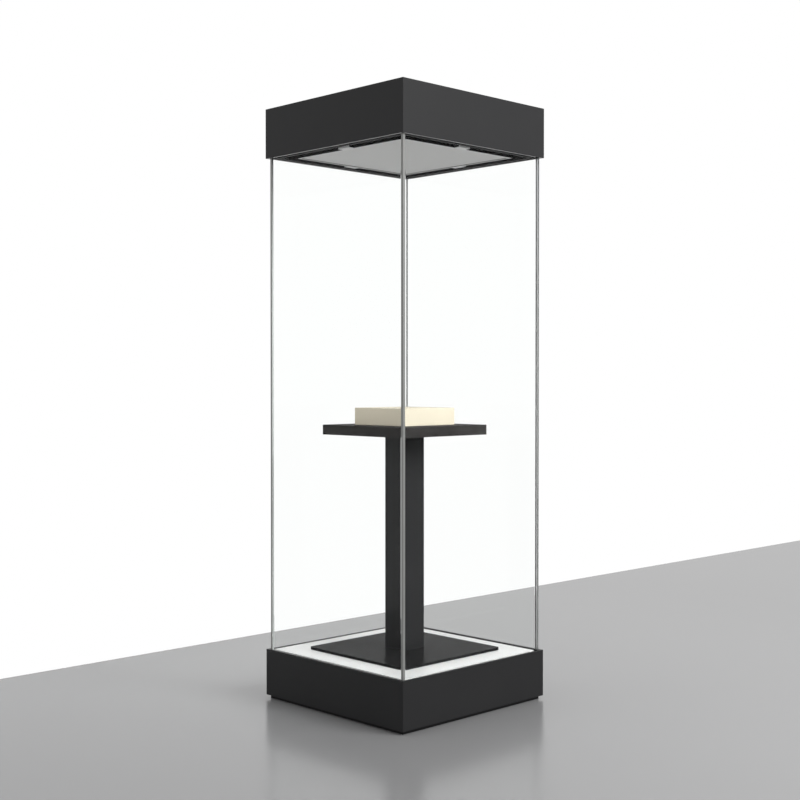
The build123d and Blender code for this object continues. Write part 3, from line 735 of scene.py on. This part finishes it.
footValues = {"at": 222, "rubberTop": 5, "smooth": 35,
              "pad": ((17.5, 1), (19, 1.8), (19, 4.6), (18.2, 5), (18.2, 5.4), (19, 5.8), (19, 7.2),
                      (18, 8.2), (7.5, 9)),
              "nut": ((7.9, 8.6), (9, 9.4), (9, 14.3), (7.9, 15))}
threadValues = {"from": 15, "to": 54, "pitch": 1.5, "outer": 5, "root": 4.35, "chamfer": 0.2,
                "start": 14, "tip": 55, "turn": ((0, 0), (0, 0.3), (1, 0.75), (1, 0.95))}


def stemProfile():
    s = threadValues
    radii = (s["outer"], s["root"])
    profile = [(s["outer"] - s["chamfer"], s["start"])]
    turns = round((s["to"] - s["from"]) / s["pitch"])
    for count in range(turns):
        height = s["from"] + count * s["pitch"]
        profile += [(radii[deep], height + rise) for deep, rise in s["turn"]]
    return profile + [(s["root"] - s["chamfer"], s["tip"])]


def levellingFeet():
    f = footValues
    centre = (-f["at"], -f["at"], 0)
    model = turned("feet", centre, f["pad"], points=48)
    combine(model, turned("nut", centre, f["nut"], points=6), "UNION")
    combine(model, turned("stem", centre, stemProfile(), points=24), "UNION")
    pick(model)
    bpy.ops.object.shade_smooth_by_angle(angle=radians(f["smooth"]))
    for end, endName in ((-1, "front"), (1, "rear")):
        for side, sideName in ((-1, "left"), (1, "right")):
            shift = ((side + 1) * f["at"], (end + 1) * f["at"], 0)
            foot = copyOf(model, f"levellingFoot.{endName}.{sideName}", shift)
            settle(foot, f"foot_{endName}_{sideName}", "bright_steel", zincPlate,
                   f"levelling_foot_{endName}_{sideName}")
            paint(foot, gasketRubber, lambda face: face.center.z < f["rubberTop"] * mm)
    bpy.data.objects.remove(model)


levellingFeet()
print("feet and lid ready")


# Door rails with their locks

railValues = {"start": -241, "end": 280, "front": 278.5, "back": 300, "bottom": 90, "top": 150,
              "slotFront": 280.5, "slotBack": 291.5, "slotFloor": 112, "round": 0.6, "spare": 5,
              "capDepth": 0.6, "capInset": 2}
lockValues = {"x": 258, "z": 101, "body": 7, "flange": 9, "plug": 5, "round": 0.15, "clear": 0.05,
              "from": 270, "inside": 278.5, "seat": 299, "past": 305,
              "rim": ((9, 299.6), (8.5, 300)),
              "plugProfile": ((3, 273.5), (3, 278.5), (5, 278.5), (5, 299.3), (4.7, 299.6)),
              "keyHalf": 0.8, "keyReach": 3, "keyFloor": 291.6}


def doorRails():
    r, k = railValues, lockValues
    piece = block("railLower", (r["start"], r["front"], r["bottom"]), (r["end"], r["back"], r["top"]))
    combine(piece, block("cutter", (r["start"] - r["spare"], r["slotFront"], r["slotFloor"]),
                         (r["end"] + r["spare"], r["slotBack"], r["top"] + r["spare"])))
    # an end cap let into the free end
    c = r["capInset"]
    combine(piece, block("cutter", (r["end"] - r["capDepth"], r["front"] + c, r["bottom"] + c),
                         (r["end"] + r["spare"], r["back"] - c, r["slotFloor"] - c)))
    hole = [(k["body"], k["from"]), (k["body"], k["seat"]), (k["flange"], k["seat"]),
            (k["flange"], k["past"])]
    combine(piece, turned("cutter", (k["x"], 0, k["z"]), hole, axis="y"))
    soften(piece, r["round"])
    upper = copyOf(piece, "railUpper", flip="z")
    settle(piece, "door", "black_steel", shellCoat, "door_rail_bottom")
    settle(upper, "door", "black_steel", shellCoat, "door_rail_top")


def doorLocks():
    k = lockValues
    centre = (k["x"], 0, k["z"])
    body = turned("lockBodies", centre, [(k["body"], k["inside"]), (k["body"], k["seat"]),
                                         (k["flange"], k["seat"]), *k["rim"]], axis="y")
    bore = k["plug"] + k["clear"]
    combine(body, turned("cutter", centre, [(bore, k["from"]), (bore, k["past"])], axis="y"))
    soften(body, k["round"])
    plug = turned("lockPlugLower", centre, k["plugProfile"], axis="y")
    combine(plug, block("cutter", (k["x"] - k["keyHalf"], k["keyFloor"], k["z"] - k["keyReach"]),
                        (k["x"] + k["keyHalf"], k["past"], k["z"] + k["keyReach"])))
    soften(plug, k["round"])
    upperBody = copyOf(body, "lockBodyUpper", flip="z")
    joinTo(body, upperBody)
    upperPlug = copyOf(plug, "lockPlugUpper", flip="z")
    settle(body, "door", "chrome", brightPlate, "lock_bodies")
    settle(plug, "lock_lower", "chrome", brightPlate, "lock_plug_lower")
    settle(upperPlug, "lock_upper", "chrome", brightPlate, "lock_plug_upper")


doorRails()
doorLocks()
print("door ready")


# Mains inlet with its rocker switch; boxes are given about its middle

inletValues = {"x": -180, "z": 1753, "round": 0.4,
               "body": ((-24, 278, -12), (24, 300, 12)), "flange": ((-30, 295, -18), (30, 298, 18)),
               "socket": ((-21, 284, -8), (3, 310, 8)), "socketCorner": 4,
               "switch": ((7, 286, -9), (20, 310, 9))}


def mainsInlet():
    v = inletValues

    def part(name, key):
        return block(name, *[(v["x"] + x, y, v["z"] + z) for x, y, z in v[key]])

    piece = part("mainsInlet", "body")
    combine(piece, part("flange", "flange"), "UNION")
    # the socket's two upper corners are cut off, as its connector's are
    socket = part("cutter", "socket")
    top = (v["z"] + v["socket"][1][2] - 0.1) * mm
    choose(socket, "edges", lambda edge: all(corner.co.z > top for corner in edge.verts)
           and abs((edge.verts[0].co - edge.verts[1].co).normalized().y) > straight)
    bpy.ops.mesh.bevel(offset=v["socketCorner"] * mm, segments=1, affect="EDGES")
    combine(piece, socket)
    combine(piece, part("cutter", "switch"))
    soften(piece, v["round"])
    return settle(piece, "root", "black_plastic", mouldedBlack, "power_inlet")


mainsInlet()

# What stays as the solids have it, each with its own finish

finishes = {
    frameCoat: ["base_frame_lower", "base_frame_posts", "base_frame_upper", "canopy_frame", "canopy_posts",
                "canopy_rear_angle", "pivot_bracket_lower", "pivot_bracket_upper"],
    shellCoat: ["base_channel_front", "base_channel_left", "base_channel_right", "door_pivot_blocks"],
    channelCoat: ["canopy_channel_front", "canopy_channel_left", "canopy_channel_right"],
    gasketRubber: ["base_glazing_rubbers", "door_glazing_rubbers"],
    # pale painted light on the canopy's rubbers; the base's rubbers stay black
    paintedLightStrip: ["canopy_glazing_rubbers"],
    sealStrip: ["door_edge_seals"],
    laminate: ["deck_panel"],
    whiteCoat: ["ceiling_plate"],
    zincPlate: ["bracket_screws", "pedestal_screws", "pivot_pins", "lock_strikes", "inlet_blades",
                "led_board"],
    brightPlate: ["lock_cam_lower", "lock_cam_upper"],
    bearingBronze: ["door_bushes", "thrust_washer"],
    lampStrips: ["led_strips"],
    mouldedBlack: ["led_driver", "inner_leads", "switch_rocker"],
}
for look, nodes in finishes.items():
    for name in nodes:
        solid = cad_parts[name]
        for place in solid.material_slots:
            place.material = look
print("solids finished")


# Floor, light and camera

# these are in metres and degrees
floorValues = {"farEdge": -1.1, "reach": 14, "tone": (0.40, 0.40, 0.405), "spread": (0.97, 1.03),
               "drift": 0.8, "roughness": 0.2, "swing": 0.05, "gloss": 0.3}
worldValues = {"light": 0.30, "seen": 1.0}
# each lamp: energy, width and height, place, and the point it looks at
lampValues = {
    "keyLamp": (92, (2.4, 2.4), (3.4, 0.9, 2.6), (0, 0, 0.9)),
    "fillLamp": (8, (2.0, 2.4), (-1.2, -3.4, 1.8), (0, 0, 0.9)),
    "topLamp": (20, (2.0, 2.0), (0, 0, 3.6), (0, 0, 0)),
}
cameraValues = {"place": (2.83094, -2.77366, 0.97999), "tilt": 89.05, "turn": 45.788, "lens": 58.377,
                "sensor": 36}


def paleFloor():
    stopEditing()
    v = floorValues
    middle = v["farEdge"] + v["reach"]
    bpy.ops.mesh.primitive_plane_add(size=2 * v["reach"], location=(middle, 0, 0))
    floor = bpy.context.active_object
    floor.name = "floor"
    look = {"tones": around(v["tone"], *v["spread"]), "fine": (v["drift"], 2),
            "roughness": v["roughness"], "swing": v["swing"]}
    floor.data.materials.append(finish("floorPaint", look, Specular_IOR_Level=v["gloss"]))


def areaLamp(name, energy, size, place, target):
    bpy.ops.object.light_add(type="AREA", location=place)
    lamp = bpy.context.active_object
    lamp.name = name
    lamp.data.energy = energy
    lamp.data.shape = "RECTANGLE"
    lamp.data.size, lamp.data.size_y = size
    aim = Vector(target) - Vector(place)
    lamp.rotation_euler = aim.to_track_quat("-Z", "Y").to_euler()


def studioLight():
    world = bpy.data.worlds.new("studio")
    bpy.context.scene.world = world
    world.use_nodes = True
    tree = world.node_tree
    # white where it is seen, directly or in a surface, and dimmer as a light
    soft = tree.nodes["Background"]
    shown = tree.nodes.new("ShaderNodeBackground")
    for node, strength in ((soft, worldValues["light"]), (shown, worldValues["seen"])):
        node.inputs["Color"].default_value = (1, 1, 1, 1)
        node.inputs["Strength"].default_value = strength
    path = tree.nodes.new("ShaderNodeLightPath")
    camera, glossy, through = [Signal(tree, path.outputs[name])
                               for name in ("Is Camera Ray", "Is Glossy Ray", "Is Transmission Ray")]
    seen = camera + glossy + through
    mix = tree.nodes.new("ShaderNodeMixShader")
    tree.links.new(seen.socket, mix.inputs[0])
    tree.links.new(soft.outputs[0], mix.inputs[1])
    tree.links.new(shown.outputs[0], mix.inputs[2])
    tree.links.new(mix.outputs[0], tree.nodes["World Output"].inputs["Surface"])
    for name, values in lampValues.items():
        areaLamp(name, *values)


def photoCamera():
    v = cameraValues
    bpy.ops.object.camera_add(location=v["place"], rotation=(radians(v["tilt"]), 0, radians(v["turn"])))
    camera = bpy.context.active_object
    camera.data.lens = v["lens"]
    camera.data.sensor_width = v["sensor"]
    bpy.context.scene.camera = camera


paleFloor()
studioLight()
photoCamera()
bpy.context.scene.view_settings.view_transform = "Standard"
print("stage ready")
